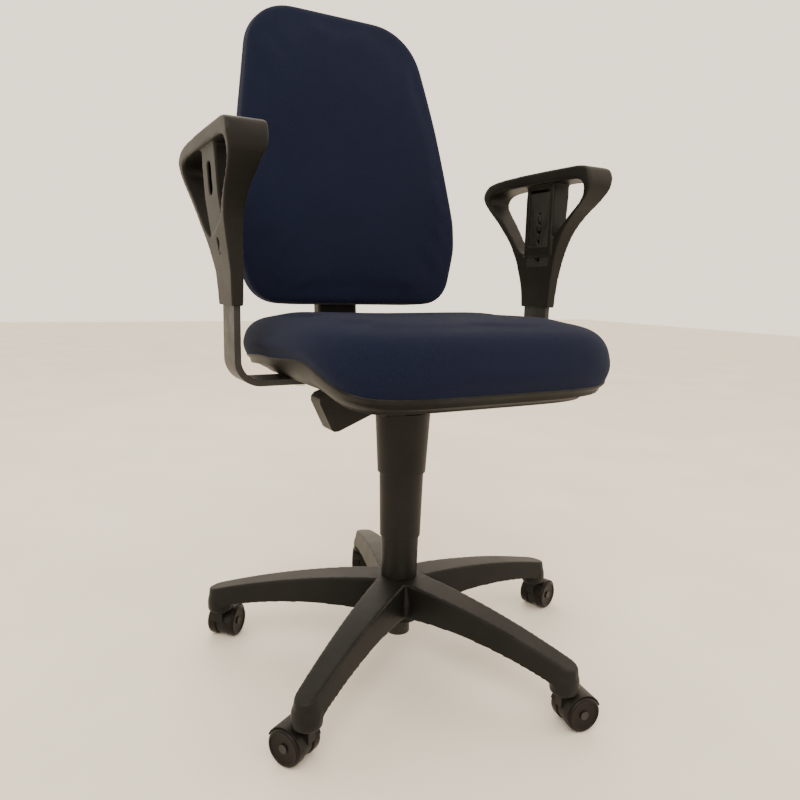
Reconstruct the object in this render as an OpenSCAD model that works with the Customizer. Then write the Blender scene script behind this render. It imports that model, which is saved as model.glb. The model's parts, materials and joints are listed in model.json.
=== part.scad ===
// Swivel office chair: a five-arm castor base, a gas lift in telescopic covers, a padded
// seat in a plastic pan, an upholstered backrest on a rear bar, and loop armrests.
// Origin: on the floor, under the column axis. The chair faces -Y, so the sitter's right is -X.

/* [Base] */
// Radius of the base at its arm tips
base_r = 317; // [308:1:320]
// Direction of the first base arm
base_turn = 3.1; // [0:0.1:72]
// Width of a base arm at the hub
arm_root_w = 54; // [50:1:60]
// Width of a base arm at its tip
arm_tip_w = 41; // [40:1:46]
// Height of the hub's top
hub_top = 132; // [132:0.5:134]

/* [Castors] */
// Radius of a castor wheel
wheel_r = 25; // [25:0.5:25]
// Width of a castor wheel
wheel_w = 16; // [15:0.5:18]
// Distance from a castor's stem to its axle
castor_trail = 20; // [19:0.5:21]
// Direction in which each castor trails
castor_turns = [19, 60, 47, 120, 352]; // [0:1:360]

/* [Gas column] */
// Diameter of the fixed column tube
tube_d = 50; // [48:1:50]
// Diameter of the sliding gas cylinder
cylinder_d = 28; // [28:1:28]
// Diameter of the piston rod
rod_d = 10; // [8:1:10]
// Height of the column tube's top
tube_top = 250; // [240:1:252]

/* [Seat] */
// Width of the seat
seat_w = 442; // [420:1:450]
// Depth of the seat
seat_d = 450; // [446:1:456]
// Middle of the seat along the chair
seat_y = -35; // [-38:1:-32]
// Height of the pan's underside
pan_z = 461; // [461:0.5:461]
// Height of the pan's rim
rim_z = 482; // [482:0.5:484]
// Height of the seat's top
seat_top = 545; // [530:1:550]
// Squareness of the seat's outline
seat_square = 5; // [4:0.1:6]

/* [Backrest] */
// Height of the backrest's lower edge
back_low = 556; // [556:1:562]
// Height of the backrest's upper edge
back_high = 1050; // [1040:1:1060]
// Thickness of the back cushion in front of its middle plane
back_front_t = 22; // [18:1:26]
// Lean of the back bar
bar_lean = 5; // [4.5:0.1:5.5]
// Width of the back bar
bar_w = 60; // [50:1:60]

/* [Armrests] */
// Inner face of the armrest sleeve
sleeve_x = 255; // [255:1:256]
// Thickness of the armrest sleeve
sleeve_t = 14; // [14:0.5:14]
// Thickness of the armrest bar
arm_bar_t = 9; // [8:0.5:9]
// Width of the armrest bar
arm_bar_w = 55; // [52:1:55]

/* [Hidden] */
$fn = 64;

fit = 0.05;                            // radial clearance of a shaft in its bore
plastic = [0.13, 0.13, 0.13];
steel = [0.62, 0.63, 0.65];
fabric = [0.13, 0.16, 0.28];
plywood = [0.72, 0.58, 0.40];

// base
arm_count = 5;
stem_ring_r = base_r - arm_tip_w / 2;
arm_crown_r = 1163;                    // radius of the arm's arched top
arm_crown_z = 132.5;                   // height of that arc over the column axis
arm_arch_r = 671;                      // radius of the arch under the arm
arm_arch_x = 139;
arm_arch_z = 83.3;
arm_wall = 4.5;
arm_start = 44;                        // the arms start inside the hub
hub_r = 56;
hub_foot_r = 37;
hub_low = 62;
boss_r = 20;                           // socket of a castor stem, under the arm's tip
boss_low = 53;
stem_top = 87;

// castors
web_t = 14;
wheel_gap = 0.6;
stem_r = 5.5;
axle_r = 4;
hood_r = 27.2;
hood_t = 1.6;
hood_w = 40;

// column
cylinder_low = 172;
cylinder_top = 440;
chamber_low = 188;
chamber_top = 400;
pin_r = 3;
pin_top = 446.6;
cover_t = 1.5;

// mechanism
mech_x = 52;
mech_low = 400;
mech_flange_z = 457;
pivot_y = 100;
pivot_z = 428;
pivot_r = 6;
lever_x = -50.5;                       // pivot of the height lever
lever_z = 449.5;
lever_pin_r = 2;
recline_rod_y = 40;
recline_rod_z = 430;
mech_bolts = [[-66, -80], [66, -80], [-66, 80], [66, 80]];
arm_bolt_y = 9;
arm_bolts_at = [[-165, arm_bolt_y], [-120, arm_bolt_y], [120, arm_bolt_y], [165, arm_bolt_y]];
bolt_r = 4;
board_z = 470;

// backrest
back_seam = 18;                        // depth where the upholstery meets the shell
shell_rear = 36;
shell_inset = 5;

// back bar, in its own leaning frame: x across, y away from the sitter, z up the bar
bend_y = 232;
bend_r = 22;                           // inside radius of the bar's bend
bar_t = 8;
bar_z = 424;
bend_mid = bend_r + bar_t / 2;
bend_z = bar_z + bar_t + bend_r;
bar_foot_y = bend_y + bend_mid * cos(bar_lean);
bar_foot_z = bend_z - bend_mid * sin(bar_lean);
bar_rise = 330;
carriage_low = 212;
carriage_h = 106;
carriage_front = 20;
knob_s = 265;
screw_at = [[-38, 232], [38, 232], [-38, 298], [38, 298]];

// armrests
sleeve_low = 560;
sleeve_y = -25;
sleeve_w = 68;
bar_x = sleeve_x + (sleeve_t - arm_bar_t) / 2;
arm_bar_y = arm_bolt_y - arm_bar_w / 2;
arm_bend_r = 27;
arm_bar_low = pan_z - arm_bar_t;
slide_gap = 0.4;

// ---------- helpers ----------

// Turns a drawing of (depth, height) upright, to be extruded across the chair
module side_view() {
    rotate([90, 0, 90]) children();
}

// Repeats the first castor's place for castor number i
module at_castor(i) {
    rotate(base_turn + 72 * (i - 1))
        translate([stem_ring_r, 0, 0])
            rotate(castor_turns[i - 1] - base_turn - 72 * (i - 1))
                children();
}

// A cylinder along the castor's axle, from y0 to y1
module on_axle(r, y0, y1) {
    translate([castor_trail, y1, wheel_r])
        rotate([90, 0, 0])
            cylinder(r = r, h = y1 - y0);
}

// The right-hand part of a pair is the mirror image of the left-hand one
module on_side(side) {
    mirror([side < 0 ? 1 : 0, 0, 0]) children();
}

// A rectangle with round corners, about its middle
module round_rect(w, d, r) {
    square([w - 2 * r, d], center = true);
    square([w, d - 2 * r], center = true);
    for (x = [-1, 1], y = [-1, 1])
        translate([x * (w / 2 - r), y * (d / 2 - r)]) circle(r = r);
}

// A smooth curve through the points p, with k steps between each two
function curve_point(a, b, c, d, t) = 0.5 * (2 * b + (c - a) * t
    + (2 * a - 5 * b + 4 * c - d) * t * t + (3 * b - a - 3 * c + d) * t * t * t);
function smooth(p, k = 3) = [
    for (i = [0 : len(p) - 2], j = [0 : k - 1])
        curve_point(p[max(i - 1, 0)], p[i], p[i + 1], p[min(i + 2, len(p) - 1)], j / k),
    p[len(p) - 1]
];

// ---------- base ----------

module arm_plan(inset) {
    root = arm_root_w / 2 - inset;
    tip = arm_tip_w / 2 - inset;
    polygon([[arm_start, -root], [stem_ring_r, -tip], [stem_ring_r, tip], [arm_start, root]]);
    translate([stem_ring_r, 0]) circle(r = tip);
}

// An arm's plan, cut to its arched top
module arm_block(inset) {
    intersection() {
        linear_extrude(height = arm_crown_z + 10) arm_plan(inset);
        translate([0, 0, arm_crown_z - arm_crown_r])
            rotate([90, 0, 0])
                cylinder(r = arm_crown_r - inset, h = 2 * arm_root_w, center = true, $fn = 360);
    }
}

// The hollow under an arm, between its cross ribs
module arm_pocket() {
    difference() {
        intersection() {
            arm_block(arm_wall);
            translate([hub_r + 4, -arm_root_w, -1]) cube([201, 2 * arm_root_w, arm_crown_z]);
        }
        for (x = [88, 132, 176, 220])
            translate([x, -arm_root_w, -1]) cube([3, 2 * arm_root_w, arm_crown_z + 2]);
    }
}

module base_arm() {
    difference() {
        arm_block(0);
        translate([arm_arch_x, 0, arm_arch_z - arm_arch_r])
            rotate([90, 0, 0])
                cylinder(r = arm_arch_r, h = 3 * arm_root_w, center = true, $fn = 360);
        arm_pocket();
    }
    translate([stem_ring_r, 0, boss_low]) cylinder(r = boss_r, h = 33);
}

module base_star() {
    bore_r = tube_d / 2;
    color(plastic) difference() {
        union() {
            for (i = [1 : arm_count])
                rotate(base_turn + 72 * (i - 1)) base_arm();
            rotate_extrude()
                polygon([
                    [bore_r, hub_low], [hub_foot_r, hub_low], [hub_foot_r, 72], [hub_r, 76],
                    [hub_r, hub_top], [bore_r, hub_top]
                ]);
        }
        for (i = [1 : arm_count])
            rotate(base_turn + 72 * (i - 1))
                translate([stem_ring_r, 0, boss_low - 1])
                    cylinder(r = stem_r, h = stem_top - boss_low + 1);
    }
}

module castor_stems() {
    color(steel) for (i = [1 : arm_count])
        rotate(base_turn + 72 * (i - 1))
            translate([stem_ring_r, 0, 0]) {
                translate([0, 0, 38.5]) cylinder(r = stem_r, h = stem_top - 38.5);
                translate([0, 0, boss_low - 2]) cylinder(r = 9, h = 2);
            }
}

// ---------- castors ----------

// Keeps the part of its children that lies over the wheels, as seen along the axle
module over_wheels() {
    intersection() {
        children();
        translate([castor_trail, 0, wheel_r]) rotate([90, 0, 0])
            linear_extrude(height = 2 * hood_w, center = true)
                polygon([[0, 0], [56, 20], [40, 60], [-40, 60], [-54, 14]]);
    }
}

module castor_housing(i) {
    color(plastic) at_castor(i) difference() {
        union() {
            on_axle(23, -web_t / 2, web_t / 2);
            over_wheels() on_axle(hood_r, -web_t / 2, web_t / 2);
            over_wheels() difference() {
                on_axle(hood_r, -hood_w / 2, hood_w / 2);
                on_axle(hood_r - hood_t, -hood_w, hood_w);
            }
            translate([-8, -web_t / 2, 32]) cube([16, web_t, 18]);
            translate([0, 0, 47]) cylinder(r = 10, h = 3.7);
        }
        translate([0, 0, 38]) cylinder(r = stem_r + fit, h = 30);
        on_axle(axle_r, -web_t, web_t);
    }
}

module castor_axle(i) {
    head = web_t / 2 + wheel_gap + wheel_w - 2.1;
    color(steel) at_castor(i) {
        on_axle(axle_r, -head, head);
        for (y = [-head - 1.5, head]) on_axle(6, y, y + 1.5);
    }
}

// side is +1 or -1, the side of the castor's web that the wheel is on
module castor_wheel(i, side) {
    face = web_t / 2 + wheel_gap;
    recess = wheel_w - 2.4;
    color(plastic) at_castor(i)
        translate([castor_trail, side * face, wheel_r])
            rotate([-90 * side, 0, 0])
                rotate_extrude()
                    polygon([
                        [axle_r + fit, 0], [9, 0], [10, 1.5], [20, 1.5], [21, 0], [wheel_r - 1.5, 0],
                        [wheel_r, 1.5], [wheel_r, wheel_w - 5], [wheel_r - 0.8, wheel_w - 2.2],
                        [wheel_r - 2.6, wheel_w - 0.5], [wheel_r - 4.5, wheel_w],
                        [19.5, wheel_w - 1.8], [9, recess], [axle_r + fit, recess]
                    ]);
}

// ---------- gas column ----------

module column_tube() {
    r = tube_d / 2;
    color(steel) rotate_extrude()
        polygon([
            [rod_d / 2 + fit, 44], [9, 44], [9, 34], [19, 34], [19, 54], [r, hub_low],
            [r, tube_top], [r - 2, tube_top], [r - 2, 66], [16, 56], [16, 50],
            [rod_d / 2 + fit, 50]
        ]);
}

module column_bush() {
    r = cylinder_d / 2 + fit;
    color("dimgray") rotate_extrude()
        polygon([
            [r, 190], [tube_d / 2 - 2, 190], [tube_d / 2 - 2, tube_top], [tube_d / 2, tube_top],
            [tube_d / 2, tube_top + 3], [r, tube_top + 3]
        ]);
}

module thrust_bearing() {
    color(steel) translate([0, 0, 50]) difference() {
        cylinder(r = 14, h = 4);
        translate([0, 0, -1]) cylinder(r = rod_d / 2 + fit, h = 6);
    }
}

module piston_rod() {
    color(steel) {
        translate([0, 0, 36]) cylinder(d = rod_d, h = 162);
        translate([0, 0, 54.2]) cylinder(r = 8, h = 4);
        translate([0, 0, 190]) cylinder(r = cylinder_d / 2 - 1.5 - fit, h = 8);
    }
}

module rod_clip() {
    color(steel) translate([0, 0, 38]) difference() {
        cylinder(r = 8, h = 2.5);
        translate([0, 0, -1]) cylinder(d = rod_d, h = 5);
    }
}

module gas_cylinder() {
    r = cylinder_d / 2;
    color(steel) rotate_extrude()
        polygon([
            [rod_d / 2 + fit, cylinder_low], [r, cylinder_low], [r, cylinder_top],
            [pin_r + fit, cylinder_top], [pin_r + fit, chamber_top], [r - 1.5, chamber_top],
            [r - 1.5, chamber_low], [rod_d / 2 + fit, chamber_low]
        ]);
}

module valve_pin() {
    color(steel) translate([0, 0, chamber_top + 1]) cylinder(r = pin_r, h = pin_top - chamber_top - 1);
}

module cover_lower() {
    color(plastic) rotate_extrude()
        polygon([
            [27, hub_top], [28.5, hub_top], [29.9, 207], [30.4, 207.5], [30.4, 210], [28.4, 210]
        ]);
}

module cover_middle() {
    color(plastic) rotate_extrude()
        polygon([
            [30.15, 199], [32.2, 199], [34.85, 309], [35.7, 309.5], [35.7, 312], [33.3, 312],
            [30.75, 202], [30.15, 202]
        ]);
}

module cover_upper() {
    color(plastic) rotate_extrude()
        polygon([
            [35.25, 304], [37.8, 304], [43, mech_low], [15, mech_low], [15, mech_low - 3],
            [43 - cover_t, mech_low - 3], [36.3, 307], [35.25, 307]
        ]);
}

// ---------- mechanism ----------

// Side view of the housing: its front end rises to stay behind the pan's lower edge
module mech_profile(top) {
    polygon([[-110, 445], [-55, 414], [-38, mech_low], [120, mech_low], [120, top], [-110, top]]);
}

module mechanism_housing() {
    wall = 3;
    color(plastic) difference() {
        union() {
            difference() {
                union() {
                    side_view() linear_extrude(height = 2 * mech_x, center = true)
                        mech_profile(mech_flange_z);
                    translate([-78, -100, mech_flange_z]) cube([156, 200, pan_z - mech_flange_z]);
                }
                side_view() linear_extrude(height = 2 * (mech_x - wall), center = true)
                    offset(delta = -wall) mech_profile(pan_z + 10);
            }
            translate([0, 0, mech_low]) cylinder(r = 21, h = 36);
            // ears that hold the height lever's pivot
            for (y = [-17, 13]) translate([-mech_x - 1.6, y, 444]) cube([8, 4, 11]);
        }
        translate([0, 0, mech_low - 1]) cylinder(d = cylinder_d, h = 60);
        // slot for the height lever
        translate([-mech_x - 1, -13, 436]) cube([wall + 2, 26, 20]);
        translate([lever_x, 18, lever_z]) rotate([90, 0, 0]) cylinder(r = lever_pin_r + fit, h = 36);
        // way out for the back bar
        translate([-38, 60, mech_low - 1]) cube([76, 70, 42]);
        translate([-mech_x - 1, pivot_y, pivot_z])
            rotate([0, 90, 0]) cylinder(r = pivot_r, h = 2 * mech_x + 2);
        translate([mech_x - wall - 1, recline_rod_y, recline_rod_z])
            rotate([0, 90, 0]) cylinder(r = 5 + fit, h = wall + 2);
        for (p = mech_bolts)
            translate([p.x, p.y, mech_flange_z - 1]) cylinder(r = bolt_r, h = 6);
    }
}

module bolt(from_z, to_z) {
    translate([0, 0, from_z]) cylinder(r = bolt_r, h = to_z - from_z);
    translate([0, 0, from_z - 5.3]) cylinder(r = 7.5, h = 5.3, $fn = 6);
}

module mechanism_bolts() {
    color(steel) for (p = mech_bolts)
        translate([p.x, p.y, 0]) bolt(mech_flange_z, rim_z - 2);
}

module arm_bolts() {
    color(steel) for (p = arm_bolts_at)
        translate([p.x, p.y, 0]) bolt(arm_bar_low, rim_z - 2);
}

// A paddle at the sitter's right, and its arm over the valve pin
module height_lever() {
    color(plastic) {
        translate([0, 24, 0]) rotate([90, 0, 0]) linear_extrude(height = 36)
            polygon([
                [-54.5, 452], [-74, 451], [-112, 439], [-128, 437], [-138, 433.5], [-143, 428],
                [-143, 421], [-124, 381], [-120, 378], [-113, 378.5], [-54.5, 402]
            ]);
        translate([-60, -9, 447]) cube([69, 18, 5]);
        translate([lever_x, 16.5, lever_z]) rotate([90, 0, 0]) cylinder(r = lever_pin_r, h = 33);
    }
}

// A paddle at the sitter's left, on the rod that locks the backrest's angle
module recline_lever() {
    color(plastic) translate([0, recline_rod_y, recline_rod_z]) {
        translate([30, 0, 0]) rotate([0, 90, 0]) cylinder(r = 5, h = 30);
        translate([30, 0, 0]) rotate([0, 90, 0]) cylinder(r = 9, h = 12);
        translate([56, 0, 0]) rotate([0, 90, 0]) linear_extrude(height = 60) round_rect(14, 34, 5);
    }
}

module pivot_pin() {
    color(steel) translate([0, pivot_y, pivot_z]) rotate([0, 90, 0]) {
        cylinder(r = pivot_r, h = 2 * mech_x + 4, center = true);
        for (s = [-1, 1]) translate([0, 0, s * (mech_x + 2)]) cylinder(r = 9, h = 4, center = true);
    }
}

// ---------- seat ----------

function sign_power(v, e) = sign(v) * pow(abs(v), e);
function seat_outline(inset) = [
    for (a = [3.75 : 7.5 : 356.25])
        [(seat_w / 2 - inset) * sign_power(cos(a), 2 / seat_square),
         seat_y + (seat_d / 2 - inset) * sign_power(sin(a), 2 / seat_square)]
];

module seat_slab(inset, z, h) {
    translate([0, 0, z]) linear_extrude(height = h) polygon(seat_outline(inset));
}

// The pan's deeper front edge, joined to the pan's own outline inset by top_inset
module chin(shrink, z0, top_inset) {
    hull() {
        translate([0, -186, z0]) linear_extrude(height = 1)
            round_rect(310 - shrink, 74 - shrink, 25, $fn = 32);
        intersection() {
            seat_slab(top_inset, 469, 1);
            translate([-190, -300, 460]) cube([380, 170 - shrink, 20]);
        }
    }
}

module seat_pan() {
    wall = 3;
    color(plastic) difference() {
        union() {
            difference() {
                union() {
                    hull() {
                        seat_slab(0, rim_z - 2, 2);
                        seat_slab(33, pan_z, 1);
                    }
                    chin(0, 446, 18);
                }
                hull() {
                    seat_slab(wall, rim_z - 2, 3);
                    seat_slab(33 + wall, pan_z + wall, 1);
                }
                chin(2 * wall, 446 + wall, 18 + wall);
            }
            for (p = concat(mech_bolts, arm_bolts_at))
                translate([p.x, p.y, pan_z + 1]) cylinder(r = 12, h = board_z - pan_z - 1);
        }
        for (p = concat(mech_bolts, arm_bolts_at))
            translate([p.x, p.y, pan_z - 1]) cylinder(r = bolt_r, h = 20);
    }
}

module seat_board() {
    color(plywood) difference() {
        seat_slab(42, board_z, rim_z - board_z);
        for (p = concat(mech_bolts, arm_bolts_at))
            translate([p.x, p.y, board_z - 1]) cylinder(r = bolt_r, h = 20);
    }
}

module seat_cushion() {
    color(fabric) hull() {
        seat_slab(1, rim_z, 1);
        seat_slab(1, rim_z + 28, 1);
        seat_slab(36, seat_top - 1, 1);
    }
}

// ---------- backrest ----------

// Depth of the backrest's middle plane at height z: upright below, leaning more above
function back_plane(z) = 190 + 0.08 * (z - 560) + 0.00026 * pow(z - 560, 2);

// The backrest seen from the front
module back_outline(inset) {
    hull() for (s = [-1, 1]) {
        translate([s * 137, back_low + 56]) circle(r = 56 - inset, $fn = 32);
        translate([s * 150, back_low + 109]) circle(r = 57 - inset, $fn = 32);
        translate([s * 130, back_low + 144]) circle(r = 78 - inset, $fn = 32);
        translate([s * 104, back_low + 304]) circle(r = 80 - inset, $fn = 32);
        translate([s * 77, back_high - 88]) circle(r = 88 - inset, $fn = 32);
        translate([0, back_high - 90]) circle(r = 90 - inset, $fn = 32);
    }
}

// The part of the backrest between two depths from its middle plane
module back_layer(inset, front, rear) {
    steps = [for (z = [back_low - 16 : 20 : back_high + 20]) z];
    intersection() {
        translate([0, 400, 0]) rotate([90, 0, 0]) linear_extrude(height = 300) back_outline(inset);
        side_view() linear_extrude(height = 500, center = true)
            polygon(concat(
                [for (z = steps) [back_plane(z) + front, z]],
                [for (i = [len(steps) - 1 : -1 : 0]) [back_plane(steps[i]) + rear, steps[i]]]
            ));
    }
}

// Places its children in the leaning frame of the back bar
module on_bar() {
    translate([0, bar_foot_y, bar_foot_z]) rotate([-bar_lean, 0, 0]) children();
}

// A cylinder square to the back bar, from y0 to y1
module through_bar(r, x, s, y0, y1) {
    translate([x, y0, s]) rotate([-90, 0, 0]) cylinder(r = r, h = y1 - y0);
}

// The edge of the back bar at distance r from the centre of its bend, from the pivot to the top
function bar_edge(r) = let (top = [
        bend_y + r * cos(bar_lean) + bar_rise * sin(bar_lean),
        bend_z - r * sin(bar_lean) + bar_rise * cos(bar_lean)
    ]) concat(
        [[pivot_y, bend_z - r]],
        [for (i = [0 : 16]) let (a = -90 + i * (90 - bar_lean) / 16)
            [bend_y + r * cos(a), bend_z + r * sin(a)]],
        [top]
    );
function reversed(p) = [for (i = [len(p) - 1 : -1 : 0]) p[i]];

module back_bar() {
    color(steel) difference() {
        union() {
            side_view() linear_extrude(height = bar_w, center = true)
                polygon(concat(bar_edge(bend_r + bar_t), reversed(bar_edge(bend_r))));
            translate([-36, pivot_y, pivot_z]) rotate([0, 90, 0]) cylinder(r = 10, h = 72);
        }
        translate([-40, pivot_y, pivot_z]) rotate([0, 90, 0]) cylinder(r = pivot_r + fit, h = 80);
    }
}

module back_bar_cover() {
    color(plastic) on_bar() translate([0, 0, 8]) linear_extrude(height = 182) difference() {
        round_rect(76, 30, 7);
        square([bar_w, bar_t], center = true);
    }
}

module back_carriage() {
    gap = slide_gap;
    color(plastic) on_bar() difference() {
        translate([-45, -carriage_front, carriage_low]) cube([90, carriage_front + 12, carriage_h]);
        translate([-bar_w / 2 - gap, -bar_t / 2 - gap, carriage_low - 1])
            cube([bar_w + 2 * gap, bar_t + 2 * gap, carriage_h + 2]);
        through_bar(4 + fit, 0, knob_s, 0, 13);
        for (p = screw_at) through_bar(3, p[0], p[1], -carriage_front - 1, 13);
    }
}

module carriage_screws() {
    color(steel) on_bar() for (p = screw_at) {
        through_bar(3, p[0], p[1], -24, 12);
        through_bar(5.5, p[0], p[1], 12, 15.5);
    }
}

// A hand wheel whose stud presses on the back bar
module back_knob() {
    grips = 8;
    color(plastic) on_bar() {
        through_bar(4, 0, knob_s, bar_t / 2 + 0.5, 20);
        difference() {
            through_bar(26, 0, knob_s, 18, 38);
            for (i = [1 : grips])
                through_bar(6, 29 * cos(360 * i / grips), knob_s + 29 * sin(360 * i / grips), 17, 39);
        }
    }
}

module back_shell() {
    wall = 3;
    color(plastic) difference() {
        union() {
            back_layer(shell_inset, back_seam, shell_rear);
            on_bar() translate([-58, -52, 196]) cube([116, 52 - carriage_front, 138]);
        }
        back_layer(shell_inset + wall, back_seam - 5, shell_rear - wall);
        on_bar() translate([wall - 58, -60, 196 + wall])
            cube([116 - 2 * wall, 60 - carriage_front - wall, 138 - 2 * wall]);
        on_bar() for (p = screw_at) through_bar(3, p[0], p[1], -30, 0);
    }
}

module back_board() {
    color(plywood) back_layer(shell_inset + 4, back_seam, back_seam + 6);
}

module back_cushion() {
    color(fabric) back_layer(0, -back_front_t, back_seam);
}

// ---------- armrests ----------

// Outline of the loop, seen from the side, as (depth, height)
loop_outside = [
    [-25, 560], [-27, 585], [-30, 615], [-35, 650], [-46, 680], [-68, 706], [-94, 727],
    [-110, 746], [-110, 765], [-97, 777], [-55, 779], [20, 779], [100, 777], [142, 771],
    [158, 756], [152, 736], [125, 708], [94, 676], [69, 643], [51, 605], [45, 580], [43, 560]
];
loop_inside = [
    [-22, 668], [-37, 686], [-60, 706], [-86, 725], [-97, 742], [-91, 756], [-58, 760],
    [20, 760], [100, 759], [130, 754], [139, 743], [132, 729], [106, 704], [79, 675],
    [58, 654], [38, 648]
];
// The loop seen from the front: wide under the arm, narrow at the sleeve
loop_inner_edge = [[255, 550], [255, 605], [256.5, 635], [258, 668], [257, 705], [252, 735],
    [247, 752], [246, 780]];
loop_outer_edge = [[297, 780], [297, 757], [293, 738], [288, 705], [283, 668], [277, 635],
    [272.5, 605], [270, 550]];

// The guide between the loop's two struts: its outer wall leans out with the loop
module arm_guide(side_wall, outer_wall) {
    translate([0, sleeve_y + sleeve_w - side_wall, 0]) rotate([90, 0, 0])
        linear_extrude(height = sleeve_w - 2 * side_wall)
            polygon([
                [sleeve_x - outer_wall, 645], [278 - outer_wall, 645], [286 - outer_wall, 700],
                [290 - outer_wall, 763], [sleeve_x - outer_wall, 763]
            ]);
}

module armrest(side) {
    slot_w = arm_bar_w + 2 * slide_gap;
    slot_t = arm_bar_t + 2 * slide_gap;
    slot_y = arm_bar_y - slide_gap;
    rail = 10;
    color(plastic) on_side(side) difference() {
        union() {
            intersection() {
                translate([240, 0, 0]) side_view() linear_extrude(height = 70) difference() {
                    polygon(smooth(loop_outside));
                    polygon(smooth(loop_inside));
                }
                translate([0, 200, 0]) rotate([90, 0, 0]) linear_extrude(height = 400)
                    polygon(concat(loop_inner_edge, loop_outer_edge));
            }
            arm_guide(0, 0);
        }
        // slot for the bar, its open window inside, and the opening in the outer face
        translate([bar_x - slide_gap, slot_y, sleeve_low - 1]) cube([slot_t, slot_w, 193]);
        intersection() {
            arm_guide(rail, 3.5);
            translate([sleeve_x - 5, -50, 662]) cube([60, 120, 90]);
        }
        translate([bar_x, arm_bolt_y, 721]) rotate([0, 90, 0]) linear_extrude(height = 40)
            round_rect(42, 18, 8);
        translate([bar_x, arm_bolt_y, 637]) rotate([0, 90, 0]) linear_extrude(height = 40)
            round_rect(21, 8.6, 4.2);
    }
}

module arm_button(side) {
    color(plastic) on_side(side) translate([0, arm_bolt_y, 637]) {
        translate([bar_x + arm_bar_t + 1, 0, 0]) rotate([0, 90, 0])
            linear_extrude(height = 8.5) round_rect(20, 7.6, 3.7);
        translate([bar_x + arm_bar_t - 0.4, 0, 0]) rotate([0, 90, 0]) cylinder(r = 3, h = 2);
    }
}

// A flat steel bar: up into the armrest, round a bend and in under the pan
module arm_bracket(side) {
    groove = 3;
    top_z = 748;
    turn_x = bar_x - arm_bend_r;
    turn_z = arm_bar_low + arm_bar_t + arm_bend_r;
    color(plastic) on_side(side) difference() {
        union() {
            translate([bar_x, arm_bar_y, turn_z]) cube([arm_bar_t, arm_bar_w, top_z - turn_z]);
            translate([turn_x, arm_bar_y + arm_bar_w, turn_z]) rotate([90, 0, 0]) rotate(-90)
                rotate_extrude(angle = 90)
                    translate([arm_bend_r, 0]) square([arm_bar_t, arm_bar_w]);
            translate([95, arm_bar_y, arm_bar_low]) cube([turn_x - 95, arm_bar_w, arm_bar_t]);
        }
        translate([bar_x + arm_bar_t - groove, arm_bolt_y - 5, 600]) cube([groove + 1, 10, 200]);
        for (z = [638 : 15 : 713])
            translate([bar_x - 1, arm_bolt_y, z]) rotate([0, 90, 0]) cylinder(r = 3.5, h = arm_bar_t + 2);
        for (x = [120, 165])
            translate([x, arm_bolt_y, arm_bar_low - 1]) cylinder(r = bolt_r, h = arm_bar_t + 2);
    }
}

// ---------- the nodes ----------

base_star();
castor_stems();
column_tube();
column_bush();
thrust_bearing();
castor_housing(1);  // castor_1_housing
castor_axle(1);  // castor_1_axle
castor_wheel(1, 1);  // castor_1_wheel_a
castor_wheel(1, -1);  // castor_1_wheel_b
castor_housing(2);  // castor_2_housing
castor_axle(2);  // castor_2_axle
castor_wheel(2, 1);  // castor_2_wheel_a
castor_wheel(2, -1);  // castor_2_wheel_b
castor_housing(3);  // castor_3_housing
castor_axle(3);  // castor_3_axle
castor_wheel(3, 1);  // castor_3_wheel_a
castor_wheel(3, -1);  // castor_3_wheel_b
castor_housing(4);  // castor_4_housing
castor_axle(4);  // castor_4_axle
castor_wheel(4, 1);  // castor_4_wheel_a
castor_wheel(4, -1);  // castor_4_wheel_b
castor_housing(5);  // castor_5_housing
castor_axle(5);  // castor_5_axle
castor_wheel(5, 1);  // castor_5_wheel_a
castor_wheel(5, -1);  // castor_5_wheel_b
cover_lower();
cover_middle();
cover_upper();
piston_rod();
rod_clip();
gas_cylinder();
valve_pin();
mechanism_housing();
mechanism_bolts();
height_lever();
recline_lever();
pivot_pin();
seat_pan();
seat_board();
seat_cushion();
back_bar();
back_bar_cover();
back_carriage();
carriage_screws();
back_knob();
back_shell();
back_board();
back_cushion();
arm_bracket(-1);  // arm_bracket_right
arm_bracket(1);  // arm_bracket_left
arm_bolts();
armrest(-1);  // armrest_right
armrest(1);  // armrest_left
arm_button(-1);  // arm_button_right
arm_button(1);  // arm_button_left
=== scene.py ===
"""The looks of a swivel office chair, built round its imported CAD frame."""

import json
import math

import bmesh
import bpy
from mathutils import Matrix, Vector, kdtree


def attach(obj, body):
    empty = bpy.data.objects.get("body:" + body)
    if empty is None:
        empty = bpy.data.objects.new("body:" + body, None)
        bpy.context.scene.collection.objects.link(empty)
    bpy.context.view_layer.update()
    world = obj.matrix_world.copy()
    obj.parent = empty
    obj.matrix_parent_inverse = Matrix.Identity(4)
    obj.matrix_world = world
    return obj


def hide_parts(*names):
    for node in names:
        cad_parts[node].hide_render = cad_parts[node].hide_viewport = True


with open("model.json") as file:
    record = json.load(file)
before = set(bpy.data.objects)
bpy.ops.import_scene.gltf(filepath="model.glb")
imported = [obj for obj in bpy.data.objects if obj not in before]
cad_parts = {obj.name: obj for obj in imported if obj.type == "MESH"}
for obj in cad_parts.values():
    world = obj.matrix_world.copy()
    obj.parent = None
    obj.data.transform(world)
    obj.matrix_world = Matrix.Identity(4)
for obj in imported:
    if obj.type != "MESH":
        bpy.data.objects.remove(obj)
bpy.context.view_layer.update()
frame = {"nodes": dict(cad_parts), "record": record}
MM = 0.001
SHARP_ANGLE = 32  # degrees: a sharper edge of a CAD node is rounded


# ---------- camera and light ----------

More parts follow.
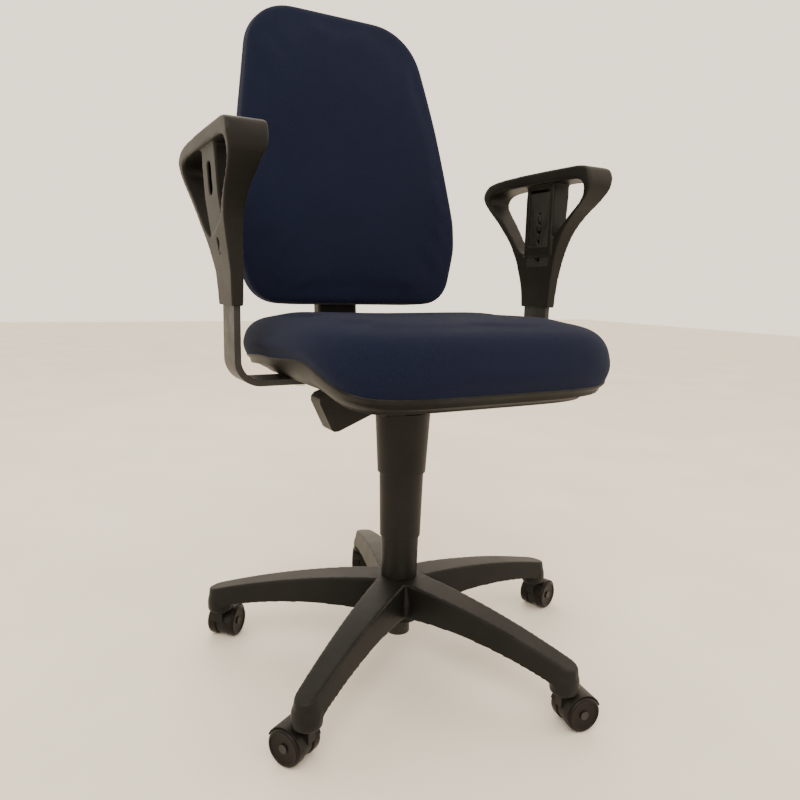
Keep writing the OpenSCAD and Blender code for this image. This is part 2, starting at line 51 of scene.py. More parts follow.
CAMERA_PLACE = (-0.5044, -0.8975, 0.5929)
CAMERA_TURNS = (-29.06, -9.74, 1.386)  # yaw, pitch and roll, in degrees
CAMERA_LENS = 30.35
WORLD_COLOUR = (0.95, 0.82, 0.66, 1)
WORLD_STRENGTH = 2.1
LIT_POINT = (0, 0, 0.5)
LAMPS = (  # name, place, size, watts, colour
    ("key", (-1.2, -1.6, 2.6), 1.6, 42, (1.0, 0.97, 0.92)),
    ("fill", (2.2, -1.2, 1.5), 2.0, 10, (1.0, 0.96, 0.90)),
    ("rim", (0.3, 2.2, 2.2), 2.0, 16, (1.0, 0.97, 0.93)),
)


def make_camera():
    yaw, pitch, roll = (math.radians(a) for a in CAMERA_TURNS)
    ahead = Vector(
        (
            -math.sin(yaw) * math.cos(pitch),
            math.cos(yaw) * math.cos(pitch),
            math.sin(pitch),
        )
    )
    level = Vector((math.cos(yaw), math.sin(yaw), 0))
    upright = level.cross(ahead)
    right = level * math.cos(roll) + upright * math.sin(roll)
    up = upright * math.cos(roll) - level * math.sin(roll)
    data = bpy.data.cameras.new("camera")
    data.lens = CAMERA_LENS
    data.clip_start, data.clip_end = 0.02, 60
    camera = bpy.data.objects.new("camera", data)
    axes = Matrix((right, up, -ahead)).transposed().to_4x4()
    camera.matrix_world = Matrix.Translation(CAMERA_PLACE) @ axes
    bpy.context.scene.collection.objects.link(camera)
    bpy.context.scene.camera = camera


def make_lamp(name, place, size, watts, colour):
    data = bpy.data.lights.new(name, "AREA")
    data.shape, data.size, data.energy, data.color = "DISK", size, watts, colour
    lamp = bpy.data.objects.new(name, data)
    lamp.location = place
    aim = Vector(LIT_POINT) - Vector(place)
    lamp.rotation_mode = "QUATERNION"
    lamp.rotation_quaternion = aim.to_track_quat("-Z", "Y")
    bpy.context.scene.collection.objects.link(lamp)


def make_light():
    world = bpy.data.worlds.new("studio")
    bpy.context.scene.world = world
    world.use_nodes = True
    background = world.node_tree.nodes["Background"]
    background.inputs["Color"].default_value = WORLD_COLOUR
    background.inputs["Strength"].default_value = WORLD_STRENGTH
    for lamp in LAMPS:
        make_lamp(*lamp)


# ---------- mesh helpers ----------


def new_piece(name, points, faces, smooth=True):
    data = bpy.data.meshes.new(name)
    data.from_pydata([tuple(p) for p in points], [], faces)
    data.update()
    made = bpy.data.objects.new(name, data)
    bpy.context.scene.collection.objects.link(made)
    bm = bmesh.new()
    bm.from_mesh(data)
    bmesh.ops.recalc_face_normals(bm, faces=bm.faces)
    bm.to_mesh(data)
    bm.free()
    data.polygons.foreach_set("use_smooth", [smooth] * len(data.polygons))
    return made


def lofted(name, rings, ends=(True, True)):
    """A skin through rings of equally many points, closed with a fan at each true end."""
    count = len(rings[0])
    points = [p for ring in rings for p in ring]
    faces = []
    for k in range(len(rings) - 1):
        for i in range(count):
            j = (i + 1) % count
            a, b = k * count, (k + 1) * count
            faces.append((a + i, a + j, b + j, b + i))
    for closed, ring in zip(ends, (0, len(rings) - 1)):
        if closed:
            centre = sum((Vector(p) for p in rings[ring]), Vector()) / count
            points.append(centre)
            for i in range(count):
                faces.append(
                    (ring * count + i, ring * count + (i + 1) % count, len(points) - 1)
                )
    return new_piece(name, points, faces)


def apply_modifiers(piece):
    graph = bpy.context.evaluated_depsgraph_get()
    done = bpy.data.meshes.new_from_object(piece.evaluated_get(graph))
    piece.modifiers.clear()
    piece.data = done


def remeshed(piece, voxel, rounds):
    """Gives the piece one even skin, smoothed for some rounds."""
    remesh = piece.modifiers.new("remesh", "REMESH")
    remesh.mode, remesh.voxel_size, remesh.use_smooth_shade = "VOXEL", voxel, True
    even = piece.modifiers.new("even", "SMOOTH")
    even.factor, even.iterations = 0.5, rounds
    apply_modifiers(piece)


def joined(name, pieces):
    """One piece from several, which may pass through each other."""
    bm = bmesh.new()
    for piece in pieces:
        bm.from_mesh(piece.data)
        bpy.data.objects.remove(piece)
    data = bpy.data.meshes.new(name)
    bm.to_mesh(data)
    bm.free()
    made = bpy.data.objects.new(name, data)
    bpy.context.scene.collection.objects.link(made)
    return made


def soft_edges(piece, width):
    """Rounds the sharp edges of a CAD node."""
    weld = piece.modifiers.new("weld", "WELD")
    weld.merge_threshold = 0.00002
    bevel = piece.modifiers.new("bevel", "BEVEL")
    bevel.width, bevel.segments = width, 2
    bevel.limit_method, bevel.angle_limit = "ANGLE", math.radians(SHARP_ANGLE)
    bevel.use_clamp_overlap = True
    for polygon in piece.data.polygons:
        polygon.use_smooth = True
    normals = piece.modifiers.new("normals", "WEIGHTED_NORMAL")
    normals.keep_sharp = True


def finish_piece(piece, body, material, slot, *nodes):
    piece.data.materials.clear()
    piece.data.materials.append(material)
    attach(piece, body)
    if nodes:
        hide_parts(*nodes)


# ---------- materials ----------


class Paint:
    """A material with a few shorthands for its nodes."""

    def __init__(self, name):
        self.material = bpy.data.materials.new(name)
        self.material.use_nodes = True
        self.tree = self.material.node_tree
        self.shader = self.tree.nodes["Principled BSDF"]
        self.place = self.add("ShaderNodeTexCoord").outputs["Object"]

    def add(self, kind, **values):
        node = self.tree.nodes.new(kind)
        for key, value in values.items():
            setattr(node, key, value)
        return node

    def link(self, source, target):
        if isinstance(source, (int, float, tuple)):
            target.default_value = source
        else:
            self.tree.links.new(source, target)

    def math(self, operation, a, b=0.0):
        node = self.add("ShaderNodeMath", operation=operation)
        self.link(a, node.inputs[0])
        self.link(b, node.inputs[1])
        return node.outputs[0]

    def noise(self, scale, detail=2.0, rough=0.5, stretch=None):
        node = self.add("ShaderNodeTexNoise")
        where = self.place
        if stretch:
            mapping = self.add("ShaderNodeMapping")
            self.link(self.place, mapping.inputs["Vector"])
            mapping.inputs["Scale"].default_value = stretch
            where = mapping.outputs["Vector"]
        self.link(where, node.inputs["Vector"])
        node.inputs["Scale"].default_value = scale
        node.inputs["Detail"].default_value = detail
        node.inputs["Roughness"].default_value = rough
        return node.outputs["Fac"]

    def ramp(self, factor, *stops):
        node = self.add("ShaderNodeValToRGB")
        self.link(factor, node.inputs["Fac"])
        elements = node.color_ramp.elements
        while len(elements) < len(stops):
            elements.new(0.5)
        for element, (at, colour) in zip(elements, stops):
            element.position = at
            element.color = (*colour, 1)
        return node.outputs["Color"]

    def span(self, factor, low, high, to_low, to_high):
        node = self.add("ShaderNodeMapRange")
        self.link(factor, node.inputs["Value"])
        for name, value in (
            ("From Min", low),
            ("From Max", high),
            ("To Min", to_low),
            ("To Max", to_high),
        ):
            node.inputs[name].default_value = value
        return node.outputs["Result"]

    def mix(self, factor, a, b):
        node = self.add("ShaderNodeMix", data_type="RGBA")
        self.link(factor, node.inputs["Factor"])
        for value, name in ((a, "A"), (b, "B")):
            socket = [s for s in node.inputs if s.name == name and s.type == "RGBA"][0]
            self.link(value, socket)
        return [s for s in node.outputs if s.type == "RGBA"][0]

    def bump(self, height, distance, strength, onto=None):
        node = self.add("ShaderNodeBump")
        self.link(height, node.inputs["Height"])
        node.inputs["Distance"].default_value = distance
        node.inputs["Strength"].default_value = strength
        if onto is not None:
            self.link(onto, node.inputs["Normal"])
        return node.outputs["Normal"]

    def set(self, **values):
        names = {
            "color": "Base Color",
            "roughness": "Roughness",
            "metallic": "Metallic",
            "normal": "Normal",
            "sheen": "Sheen Weight",
            "sheen_roughness": "Sheen Roughness",
            "sheen_tint": "Sheen Tint",
            "specular": "Specular IOR Level",
        }
        for key, value in values.items():
            self.link(value, self.shader.inputs[names[key]])
        return self.material


def facing_up(paint):
    """How far the surface faces up, from 0 to 1."""
    geometry = paint.add("ShaderNodeNewGeometry")
    split = paint.add("ShaderNodeSeparateXYZ")
    paint.link(geometry.outputs["Normal"], split.inputs[0])
    return paint.math("MAXIMUM", split.outputs["Z"], 0.0)


DUST_COLOUR = (0.20, 0.185, 0.16, 1)


def moulded_plastic(name, dark, light, rough, grain, dust):
    """Plastic with a fine spark grain, uneven gloss, rubbed edges and a little dust.

    grain is its depth in metres, and dust the share of it on a level face.
    """
    p = Paint(name)
    cloudy = p.noise(9, 4, 0.6)
    speckle = p.noise(420, 2, 0.6)
    shade = p.ramp(cloudy, (0.35, dark), (0.75, light))
    edge = p.add("ShaderNodeNewGeometry").outputs["Pointiness"]
    rubbed = p.span(edge, 0.515, 0.60, 0.0, 0.5)
    patchy = p.span(p.noise(38, 4, 0.65), 0.42, 0.72, 0.0, 1.0)
    worn = p.math("MULTIPLY", rubbed, patchy)
    shade = p.mix(worn, shade, (*(min(1, c * 2.6 + 0.02) for c in light), 1))
    drifts = p.span(p.noise(24, 5, 0.7), 0.35, 0.8, 0, 1)
    settled = p.math("MULTIPLY", facing_up(p), drifts)
    shade = p.mix(p.math("MULTIPLY", settled, dust), shade, DUST_COLOUR)
    gloss = p.span(p.noise(16, 3, 0.55), 0.3, 0.75, rough - 0.02, rough + 0.05)
    gloss = p.math("ADD", gloss, p.math("MULTIPLY", settled, 0.6 * dust))
    normal = p.bump(speckle, grain, 0.55)
    normal = p.bump(p.noise(28, 3, 0.5), 0.00025, 0.5, normal)
    return p.set(color=shade, roughness=gloss, normal=normal, specular=0.15)


def weave_height(p, period):
    """A plain weave seen along each axis in turn, mixed by the surface's direction."""
    turns = 2 * math.pi / period
    split = p.add("ShaderNodeSeparateXYZ")
    p.link(p.place, split.inputs[0])
    x, y, z = (p.math("MULTIPLY", split.outputs[k], turns) for k in "XYZ")

    def cloth(u, v):
        cross = p.math("MULTIPLY", p.math("SINE", u), p.math("SINE", v))
        warp = p.math("ABSOLUTE", p.math("COSINE", u))
        weft = p.math("ABSOLUTE", p.math("COSINE", v))
        over = p.span(cross, -0.5, 0.5, 0.0, 1.0)
        under = p.math("SUBTRACT", 1.0, over)
        return p.math(
            "ADD", p.math("MULTIPLY", warp, over), p.math("MULTIPLY", weft, under)
        )

    geometry = p.add("ShaderNodeNewGeometry")
    facing = p.add("ShaderNodeSeparateXYZ")
    p.link(geometry.outputs["Normal"], facing.inputs[0])
    shares = [
        p.math("POWER", p.math("ABSOLUTE", facing.outputs[k]), 4.0) for k in "XYZ"
    ]
    total = p.math("ADD", p.math("ADD", shares[0], shares[1]), shares[2])
    parts = [
        p.math("MULTIPLY", cloth(u, v), share)
        for (u, v), share in zip(((y, z), (x, z), (x, y)), shares)
    ]
    return p.math("DIVIDE", p.math("ADD", p.math("ADD", *parts[:2]), parts[2]), total)


WEAVE_PERIOD = 0.0024


def navy_fabric():
    p = Paint("navy_weave")
    height = weave_height(p, WEAVE_PERIOD)
    tone = p.noise(7, 3, 0.55)
    fleck = p.noise(900, 2, 0.7)
    base = p.ramp(
        tone, (0.3, (0.0032, 0.0048, 0.0145)), (0.75, (0.0048, 0.0070, 0.0200))
    )
    # The raised threads of the weave get a lighter colour: a painted highlight on their
    # tops.
    lit = p.mix(p.span(height, 0.2, 1.0, 0.0, 0.5), base, (0.0082, 0.0116, 0.0305, 1))
    # Lighter flecks of the yarn's own heather go over the painted thread highlight.
    heather_and_highlight = p.mix(p.span(fleck, 0.50, 0.70, 0.0, 0.55), lit, (0.015, 0.019, 0.042, 1))
    normal = p.bump(height, 0.00035, 0.7)
    normal = p.bump(fleck, 0.0002, 0.5, normal)
    normal = p.bump(p.noise(55, 3, 0.5), 0.0006, 0.35, normal)
    return p.set(
        color=heather_and_highlight,
        roughness=p.span(fleck, 0.3, 0.7, 0.80, 0.95),
        normal=normal,
        sheen=0.05,
        sheen_roughness=0.45,
        sheen_tint=(0.6, 0.7, 1.0, 1),
        specular=0.06,
    )


def brushed_steel():
    p = Paint("bright_steel")
    lines = p.noise(60, 3, 0.6, (6, 6, 0.6))
    shade = p.ramp(lines, (0.3, (0.50, 0.50, 0.50)), (0.7, (0.66, 0.66, 0.65)))
    return p.set(
        color=shade,
        metallic=1.0,
        roughness=p.span(lines, 0.3, 0.7, 0.22, 0.38),
        normal=p.bump(lines, 0.0001, 0.4),
    )


def painted_steel():
    p = Paint("painted_steel")
    orange_peel = p.noise(260, 2, 0.5)
    shade = p.ramp(
        p.noise(20, 3, 0.6), (0.35, (0.010, 0.010, 0.010)), (0.7, (0.022, 0.021, 0.019))
    )
    return p.set(
        color=shade,
        roughness=p.span(p.noise(30, 3, 0.6), 0.3, 0.7, 0.38, 0.55),
        normal=p.bump(orange_peel, 0.00008, 0.5),
        specular=0.3,
    )


def birch_plywood():
    p = Paint("birch_plywood")
    rings = p.noise(14, 4, 0.6, (1, 9, 9))
    shade = p.ramp(rings, (0.3, (0.46, 0.30, 0.15)), (0.7, (0.62, 0.45, 0.26)))
    return p.set(
        color=shade,
        roughness=p.span(rings, 0.3, 0.7, 0.55, 0.75),
        normal=p.bump(rings, 0.0003, 0.4),
    )


def grey_bush():
    p = Paint("grey_bush")
    fine = p.noise(300, 2, 0.5)
    shade = p.ramp(p.noise(30, 3), (0.3, (0.10, 0.10, 0.10)), (0.7, (0.15, 0.15, 0.15)))
    return p.set(color=shade, roughness=0.5, normal=p.bump(fine, 0.0001, 0.4))


def floor_paint():
    p = Paint("pale_floor")
    shade = p.ramp(
        p.noise(3, 4, 0.6), (0.3, (0.73, 0.69, 0.61)), (0.7, (0.80, 0.76, 0.68))
    )
    return p.set(
        color=shade,
        roughness=p.span(p.noise(12, 3), 0.3, 0.7, 0.45, 0.65),
        normal=p.bump(p.noise(90, 3), 0.0004, 0.2),
    )


make_camera()
make_light()

PLASTIC = moulded_plastic(
    "moulded_black",
    dark=(0.0060, 0.0058, 0.0052),
    light=(0.0105, 0.0100, 0.0088),
    rough=0.46,
    grain=0.00009,
    dust=0.06,
)
BASE_PLASTIC = moulded_plastic(
    "base_black",
    dark=(0.0044, 0.0045, 0.0042),
    light=(0.0082, 0.0082, 0.0075),
    rough=0.44,
    grain=0.00010,
    dust=0.05,
)
WHEEL = moulded_plastic(
    "castor_nylon",
    dark=(0.0030, 0.0022, 0.0020),
    light=(0.0060, 0.0042, 0.0038),
    rough=0.40,
    grain=0.00005,
    dust=0.02,
)
# A darker copy of the moulded black plastic for the seat pan: painted shade, so its
# upward-facing rim below the fabric shows darker.
PAN_SHADED_PLASTIC = moulded_plastic(
    "pan_black_painted_shade",
    dark=(0.0034, 0.0036, 0.0032),
    light=(0.0062, 0.0066, 0.0058),
    rough=0.50,
    grain=0.00009,
    dust=0.02,
)
FABRIC = navy_fabric()
STEEL = brushed_steel()
PAINTED = painted_steel()
PLYWOOD = birch_plywood()
BUSH = grey_bush()

FLOOR_REACH = 9
floor_corners = [
    (x * FLOOR_REACH, y * FLOOR_REACH, 0) for x, y in ((-1, -1), (1, -1), (1, 1), (-1, 1))
]
floor = new_piece("floor", floor_corners, [(0, 1, 2, 3)], smooth=False)
floor.data.materials.append(floor_paint())


# ---------- shapes shared by several pieces, in millimetres ----------


def ease(value, start, end):
    """0 before start, 1 after end, and smooth between."""
    t = min(1.0, max(0.0, (value - start) / (end - start)))
    return t * t * (3 - 2 * t)


def metres(*point):
    return Vector(point) * MM


RING_POINTS = 120
SEAT_HALF_W, SEAT_HALF_D, SEAT_Y = 221, 225, -35
SEAT_SQUARE = 5.0  # 2 is an ellipse, and more is squarer
SEAM_BACK_Z = 482
CROWN_Z = 547.5


def seat_point(inset, turn):
    """The seat's outline, drawn in by inset, in direction turn (degrees)."""
    c, s = math.cos(math.radians(turn)), math.sin(math.radians(turn))
    half_w, half_d = SEAT_HALF_W - inset, SEAT_HALF_D - inset
    reach = (
        (abs(c) / half_w) ** SEAT_SQUARE + (abs(s) / half_d) ** SEAT_SQUARE
    ) ** (-1 / SEAT_SQUARE)
    return reach * c, SEAT_Y + reach * s


def seat_seam(y):
    """Height of the line where the fabric meets the pan.

    It climbs from the back to the thighs, and dips under the front edge.
    """
    rise = 10 * ease(-y, -150, 0) + 8 * ease(-y, 0, 130)
    return SEAM_BACK_Z + rise - 34 * ease(-y, 130, 258)


def seat_crown(x, y):
    """Height of the seat's top: dished in the middle, lower at its edges."""
    dish = 3.5 * math.exp(-(((x / 120) ** 2) + ((y + 20) / 130) ** 2))
    fall = 6 * ease(-y, 120, 262) + 9 * ease(y, 30, 190)
    return CROWN_Z - dish - fall - 2 * ease(abs(x), 140, 225)


def seat_ring(inset, height):
    """A ring along the seat's outline; height(x, y, seam) gives each point's height."""
    ring = []
    for k in range(RING_POINTS):
        x, y = seat_point(inset, 360 / RING_POINTS * k)
        ring.append(metres(x, y, height(x, y, seat_seam(y))))
    return ring


# The backrest's outline runs round these circles (x, z, radius) and their mirror images
BACK_CIRCLES = (
    (137, 612, 56),
    (150, 665, 57),
    (130, 700, 78),
    (104, 860, 80),
    (77, 962, 88),
    (0, 960, 90),
)
OUTLINE_STEPS = 720
TOP_FULLNESS = 4


def back_outline(inset):
    """The backrest's outline seen from the front, as (x, z), evenly spaced."""
    dense = []
    for k in range(OUTLINE_STEPS):
        a = math.radians(-90 + 360 / OUTLINE_STEPS * k)
        ux, uz = math.cos(a), math.sin(a)
        best = max(
            (
                (side * x * ux + z * uz + r, side * x, z, r)
                for x, z, r in BACK_CIRCLES
                for side in (-1, 1)
            ),
        )
        _, x, z, r = best
        x, z = x + (r - inset) * ux, z + (r - inset) * uz
        dense.append((x, z + TOP_FULLNESS * ease(z, 880, 1040)))
    dense.append(dense[0])
    lengths = [0.0]
    for a, b in zip(dense, dense[1:]):
        lengths.append(lengths[-1] + math.dist(a, b))
    out, at = [], 0
    for k in range(RING_POINTS):
        want = lengths[-1] * k / RING_POINTS
        while lengths[at + 1] < want:
            at += 1
        part = (want - lengths[at]) / max(lengths[at + 1] - lengths[at], 1e-9)
        a, b = dense[at], dense[at + 1]
        out.append((a[0] + (b[0] - a[0]) * part, a[1] + (b[1] - a[1]) * part))
    return out


def back_plane(z):
    """Depth of the backrest's middle plane at height z."""
    return 190 + 0.08 * (z - 560) + 0.00026 * (z - 560) ** 2


def back_ring(inset, depth):
    return [metres(x, back_plane(z) + depth, z) for x, z in back_outline(inset)]


# ---------- cloth ----------

CLOTH_VOXEL = 0.006
CLOTH_FRAMES = 16
CLOTH_PRESSURE = 5.0
CLOTH_CAP = 5 * MM  # no point moves further than this
NEIGHBOURS = 10
FOAM_SLACK = 2  # the pads start this much flatter, in millimetres


def simulated_moves(piece, held):
    """Where the fabric of a coarse copy starts, and how far it moves there."""
    coarse = bpy.data.objects.new("coarse", piece.data.copy())
    bpy.context.scene.collection.objects.link(coarse)
    remeshed(coarse, CLOTH_VOXEL, 2)
    start = [v.co.copy() for v in coarse.data.vertices]
    pins = coarse.vertex_groups.new(name="pins")
    for k, point in enumerate(start):
        if held(point):
            pins.add([k], 1.0, "REPLACE")
    cloth = coarse.modifiers.new("cloth", "CLOTH")
    settings = cloth.settings
    settings.quality = 6
    settings.mass = 0.3
    settings.tension_stiffness = settings.compression_stiffness = 60
    settings.shear_stiffness = 30
    settings.bending_stiffness = 12.0
    settings.use_pressure = True
    settings.uniform_pressure_force = CLOTH_PRESSURE
    settings.vertex_group_mass = "pins"
    settings.effector_weights.gravity = 0
    cloth.point_cache.frame_start, cloth.point_cache.frame_end = 1, CLOTH_FRAMES
    scene = bpy.context.scene
    for number in range(1, CLOTH_FRAMES + 1):
        scene.frame_set(number)
    graph = bpy.context.evaluated_depsgraph_get()
    moves = []
    for point, vertex in zip(start, coarse.evaluated_get(graph).data.vertices):
        move = vertex.co - point
        if move.length > CLOTH_CAP:
            move = move.normalized() * CLOTH_CAP
        moves.append(move)
    bpy.data.objects.remove(coarse)
    scene.frame_set(1)
    return start, moves


def inflated(piece, held):
    """Swells a padded piece as tight fabric over foam.

    held(point) is true where the fabric is fixed. The piece follows the cloth,
    except where that would press it into its foam.
    """
    start, moves = simulated_moves(piece, held)
    tree = kdtree.KDTree(len(start))
    for k, point in enumerate(start):
        tree.insert(point, k)
    tree.balance()
    normals = [v.normal.copy() for v in piece.data.vertices]
    for vertex, normal in zip(piece.data.vertices, normals):
        near = tree.find_n(vertex.co, NEIGHBOURS)
        shares = [math.exp(-((gap / CLOTH_VOXEL) ** 2)) + 1e-6 for _, _, gap in near]
        move = sum((moves[k] * s for (_, k, _), s in zip(near, shares)), Vector())
        move /= sum(shares)
        vertex.co += move - normal * min(0, move.dot(normal))
    finer = piece.modifiers.new("finer", "SUBSURF")
    finer.levels = finer.render_levels = 1
    apply_modifiers(piece)
    piece.data.polygons.foreach_set("use_smooth", [True] * len(piece.data.polygons))


# ---------- seat ----------


def make_seat_pad():
    def between(share, rise=0):
        """A height from the seam, at 0, to the crown, at 1."""
        return (
            lambda x, y, seam: seam
            + rise
            + (seat_crown(x, y) - FOAM_SLACK - seam) * share
        )

    rings = []
    for inset, share, rise in (
        (70, 0.0, -6),
        (6.2, 0.0, -6),
        (3.4, 0.0, -2.6),
        (1.4, 0.05, -0.4),
        (-1.0, 0.14, 0),
        (-2.8, 0.30, 0),
    ):
        rings.append(seat_ring(inset + 0.5 * FOAM_SLACK * share, between(share, rise)))
    round_in, power = 46, 2.6
    for u in (0.2, 0.4, 0.55, 0.7, 0.8, 0.88, 0.94, 0.98, 1.0):
        inset = round_in * (1 - (1 - u**power) ** (1 / power)) - 2.8 * (1 - u)
        rings.append(seat_ring(inset + 0.5 * FOAM_SLACK, between(0.3 + 0.7 * u)))
    for inset in range(58, 214, 14):
        rings.append(seat_ring(inset, lambda x, y, seam: seat_crown(x, y) - FOAM_SLACK))
    pad = lofted("seat_pad", rings)
    inflated(pad, lambda p: p.z < (seat_seam(p.y / MM) + 8) * MM)
    finish_piece(pad, "upper", FABRIC, "fabric_navy", "seat_cushion", "seat_board")


PAN_FLAT_Z = 461.2


def make_seat_shell():
    def lower(y):
        """Height of the pan's edge below the seam."""
        return 462 + 3 * ease(y, 60, 180) - 19 * ease(-y, 120, 215)

    def between(share, drop=0.0):
        """A height from the pan's lower edge, at 0, to just under the seam, at 1."""
        return lambda x, y, seam: lower(y) + (seam - 2 - lower(y)) * share + drop

    rings = [seat_ring(inset, lambda x, y, seam: PAN_FLAT_Z) for inset in (190, 120)]
    rings.append(
        seat_ring(70, lambda x, y, seam: PAN_FLAT_Z + (lower(y) - PAN_FLAT_Z) * 0.3)
    )
    # outside, from a small groove under the edge up to the rim
    for inset, share, drop in (
        (38, 0.0, 1.6),
        (34, 0.0, 0.2),
        (31.5, 0.0, -0.6),
        (29.5, 0.0, 0.2),
        (28.5, 0.06, 0.6),
        (20, 0.26, 0),
        (12, 0.50, 0),
        (6.6, 0.74, 0),
        (3.6, 0.90, 0),
        (2.4, 0.985, 0),
    ):
        rings.append(seat_ring(inset, between(share, drop)))
    # inside, from the rim down
    for inset, rise in ((2.9, -0.7), (3.9, -0.4), (4.9, -1.6), (6.0, -4), (9, -14)):
        rings.append(seat_ring(inset, lambda x, y, seam, r=rise: seam + r))
    rings.append(seat_ring(40, lambda x, y, seam: max(lower(y), PAN_FLAT_Z) + 4))
    rings.append(seat_ring(150, lambda x, y, seam: PAN_FLAT_Z + 4))
    shell = lofted("seat_shell", rings)
    finish_piece(shell, "upper", PAN_SHADED_PLASTIC, "plastic_black", "seat_pan")


# ---------- backrest ----------


BACK_MIDDLE_Z = 800


def back_middle(inset, depth, shares):
    """Smaller and smaller rings that close a face of the backrest."""
    rings = []
    for share in shares:
        ring = []
        for x, z in back_outline(inset):
            x, z = x * share, BACK_MIDDLE_Z + (z - BACK_MIDDLE_Z) * share
            ring.append(metres(x, back_plane(z) + depth, z))
        rings.append(ring)
    return rings


def make_back_pad():
    rings = []
    for inset, depth in (
        (60, 17.6),
        (9, 17.6),
        (3.4, 16.8),
        (1.0, 13.5),
        (0, 8),
        (0, 0),
        (0, -8),
        (0.5, -13),
        (2.2, -17.2),
        (5.6, -20.2),
        (11, -21.6),
        (22, -22.3),
        (34, -22.6),
    ):
        inset += 0.5 * FOAM_SLACK * ease(-depth, -14, 8)
        rings.append(back_ring(inset, depth + FOAM_SLACK * ease(-depth, 8, 20)))
    shares = (1, 0.88, 0.76, 0.64, 0.52, 0.4, 0.28, 0.16)
    rings += back_middle(46, FOAM_SLACK - 22.8, shares)
    pad = lofted("back_pad", rings)
    inflated(pad, lambda p: p.y > (back_plane(p.z / MM) + 9) * MM)
    finish_piece(pad, "backrest", FABRIC, "fabric_navy", "back_cushion", "back_board")


BAR_LEAN = math.radians(5)
BAR_FOOT = (257.9, 451.7)
CARRIAGE_UP = 265  # the carriage's middle, along the bar


def on_bar(x, out, up):
    """A point in the leaning frame of the back bar: out from it, up along it."""
    c, s = math.cos(BAR_LEAN), math.sin(BAR_LEAN)
    return metres(x, BAR_FOOT[0] + out * c + up * s, BAR_FOOT[1] - out * s + up * c)


def round_corners(half_x, half_y, radius):
    """A rectangle with round corners about the origin, as (x, y)."""
    steps = 6
    out = []
    for quarter, (sx, sy) in enumerate(((1, 1), (-1, 1), (-1, -1), (1, -1))):
        for k in range(steps + 1):
            a = math.radians(90 * quarter + 90 * k / steps)
            out.append(
                (
                    sx * (half_x - radius) + radius * math.cos(a),
                    sy * (half_y - radius) + radius * math.sin(a),
                )
            )
    return out


def make_back_shell():
    rings = []
    for inset, depth in (
        (50, 21),
        (10, 21),
        (7.2, 18.8),
        (5.8, 18.4),
        (5, 19.5),
        (5, 24),
        (6.6, 29),
        (11, 33),
        (19, 35.2),
        (32, 36),
        (46, 36.2),
    ):
        rings.append(back_ring(inset, depth))
    rings += back_middle(46, 36.3, (0.75, 0.5, 0.25))
    shell = lofted("shell", rings)
    rings = []
    for grow, out in ((16, -48), (9, -37), (4, -30), (1, -25), (0, -21.5), (-1.5, -20)):
        corners = round_corners(58 + grow, 69 + grow, 10 + max(0, grow))
        rings.append([on_bar(x, out, CARRIAGE_UP + z) for x, z in corners])
    carriage_seat = lofted("carriage_seat", rings)
    cover = joined("back_cover", [shell, carriage_seat])
    finish_piece(cover, "backrest", PLASTIC, "plastic_black", "back_shell")


# ---------- base ----------

BASE_VOXEL = 0.0018
BASE_TURN = 3.1
STEM_RING_R = 296.5
ARM_WALL = 4.5
RIB_PLACES = (88, 132, 176, 220)
RIB_WALL = 3.2


def base_height(x):
    """The lowest and highest point of a base arm at distance x from the column."""
    t = x / 300
    return 69 + 62 * t - 67.2 * t * t, 132.3 - 0.2 * t - 38.5 * t * t


def arm_ring(x, swing=None):
    """A section of a base arm: its skin, then its hollow inside.

    swing is the angle round the tip (radians), or None along the arm.
    """
    ring = []
    levels = (0, 0.34, 0.67, 1)
    for wall, order in ((0, 1), (ARM_WALL, -1)):
        for side in (-order, order):
            heights = levels if side * order < 0 else levels[::-1]
            for level in heights:
                t = x / 300
                half = (27.8 - 7.3 * t) * (1 - level) + (26.2 - 11.6 * t) * level - wall
                px, py = x, half
                if swing is not None:
                    px += (half + 2.5 * level) * math.sin(swing)
                    py *= math.cos(swing)
                low, high = base_height(px)
                pz = low + (high - wall - low) * level
                ring.append(metres(px, side * py, pz))
    return ring


def lathe(name, profile, count, closed=False):
    """Turns (radius, height) points about the vertical axis."""
    rings = []
    for radius, height in profile:
        ring = []
        for k in range(count):
            a = 2 * math.pi * k / count
            ring.append(metres(radius * math.cos(a), radius * math.sin(a), height))
        rings.append(ring)
    if closed:
        rings.append(rings[0])
    return lofted(name, rings, (not closed, not closed))


def block(name, low, high):
    """A box between two corners."""
    (x0, y0, z0), (x1, y1, z1) = low, high
    corners = ((x0, y0), (x1, y0), (x1, y1), (x0, y1))
    return lofted(name, [[metres(x, y, z) for x, y in corners] for z in (z0, z1)])


def make_base():
    parts = []
    boss_profile = (
        (0, 53),
        (18, 53),
        (19.4, 54),
        (20, 56),
        (20.4, 66),
        (19.6, 74),
        (14, 88),
        (0, 88),
    )
    hub_profile = (
        (25.4, 61.5),
        (36, 61.5),
        (37, 63),
        (37.5, 74),
        (48, 80),
        (50, 100),
        (46, 122),
        (40, 131.2),
        (25.4, 131.9),
    )
    for k in range(5):
        turn = Matrix.Rotation(math.radians(BASE_TURN + 72 * k), 4, "Z")
        rings = [arm_ring(x) for x in range(36, 290, 12)]
        rings.append(arm_ring(STEM_RING_R))
        for step in range(1, 8):
            rings.append(arm_ring(STEM_RING_R, math.radians(12 * step)))
        arm = lofted("arm", rings)
        arm.data.transform(turn)
        boss = lathe("boss", boss_profile, 48)
        boss.data.transform(turn @ Matrix.Translation(metres(STEM_RING_R, 0, 0)))
        parts += [arm, boss]
        for x in RIB_PLACES:
            low, high = base_height(x)
            half = 21 - x / 30
            rib = block("rib", (x, -half, low + 2), (x + RIB_WALL, half, high - 2))
            rib.data.transform(turn)
            parts.append(rib)
    parts.append(lathe("hub", hub_profile, 96, closed=True))
    star = joined("base_body", parts)
    remeshed(star, BASE_VOXEL, 6)
    finish_piece(star, "base", BASE_PLASTIC, "plastic_black", "base_star")


# ---------- armrests ----------

ARMREST_VOXEL = 0.0014

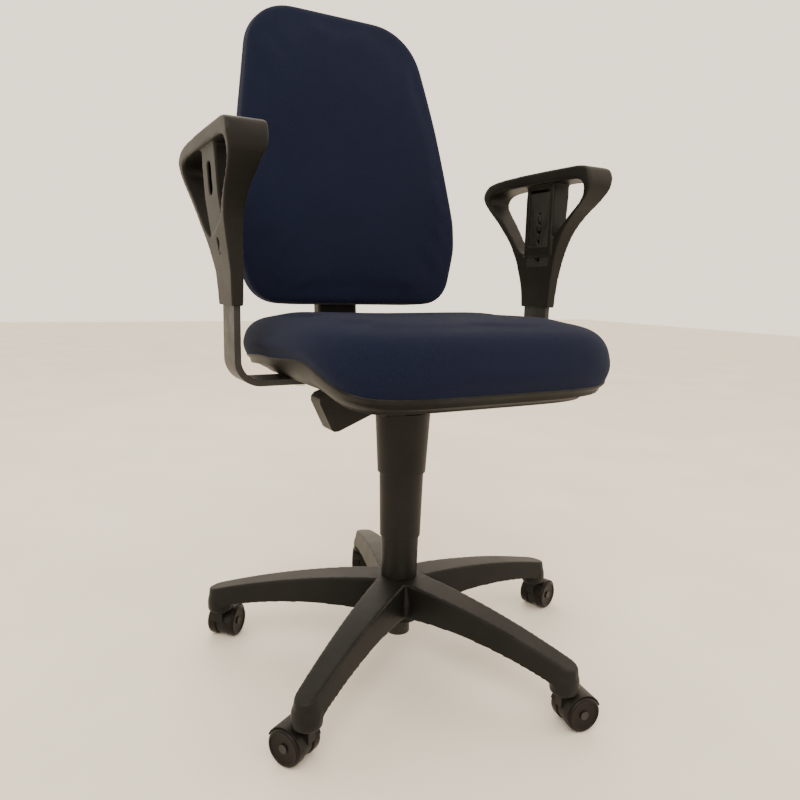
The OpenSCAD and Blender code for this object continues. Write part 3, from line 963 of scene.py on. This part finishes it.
def copy_of(node, name):
    """A welded copy of a CAD node's mesh, to be reworked."""
    data = frame["nodes"][node].data.copy()
    data.name = name
    made = bpy.data.objects.new(name, data)
    bpy.context.scene.collection.objects.link(made)
    bm = bmesh.new()
    bm.from_mesh(data)
    bmesh.ops.remove_doubles(bm, verts=bm.verts, dist=0.00001)
    bm.to_mesh(data)
    bm.free()
    return made


def make_armrest(side):
    arm = copy_of("armrest_" + side, "armrest_body_" + side)
    remeshed(arm, ARMREST_VOXEL, 3)
    pad = arm.vertex_groups.new(name="pad")
    for vertex in arm.data.vertices:
        share = ease(vertex.co.z / MM, 738, 756)
        if share > 0:
            pad.add([vertex.index], share, "REPLACE")
    even = arm.modifiers.new("even", "SMOOTH")
    even.factor, even.iterations, even.vertex_group = 0.5, 26, "pad"
    apply_modifiers(arm)
    finish_piece(arm, "armrest_" + side, PLASTIC, "plastic_black", "armrest_" + side)


make_seat_pad()
make_seat_shell()
make_back_pad()
make_back_shell()
make_base()
make_armrest("right")
make_armrest("left")


# ---------- CAD nodes that stay, with their finish ----------

FINISHES = {
    "plastic_black": PLASTIC,
    "castor_black": WHEEL,
    "fabric_navy": FABRIC,
    "steel": STEEL,
    "steel_black": PAINTED,
    "plywood": PLYWOOD,
    "bush_grey": BUSH,
}
EDGES = {
    "cover_lower": 0.0004,
    "cover_middle": 0.0004,
    "cover_upper": 0.0004,
    "mechanism_housing": 0.0025,
    "height_lever": 0.004,
    "recline_lever": 0.003,
    "back_bar_cover": 0.002,
    "back_carriage": 0.002,
    "back_knob": 0.0015,
    "arm_bracket_right": 0.0008,
    "arm_bracket_left": 0.0008,
    "arm_button_right": 0.0008,
    "arm_button_left": 0.0008,
}
SLOTS = {part["node"]: part["material_slot"] for part in frame["record"]["subparts"]}
for node, piece in frame["nodes"].items():
    material = FINISHES.get(SLOTS[node], PAINTED)
    if node == "base_star":
        material = BASE_PLASTIC
    piece.data.materials.clear()
    piece.data.materials.append(material)
    if node in EDGES:
        soft_edges(piece, EDGES[node])
    elif "castor" in node and ("wheel" in node or "housing" in node):
        soft_edges(piece, 0.0007)
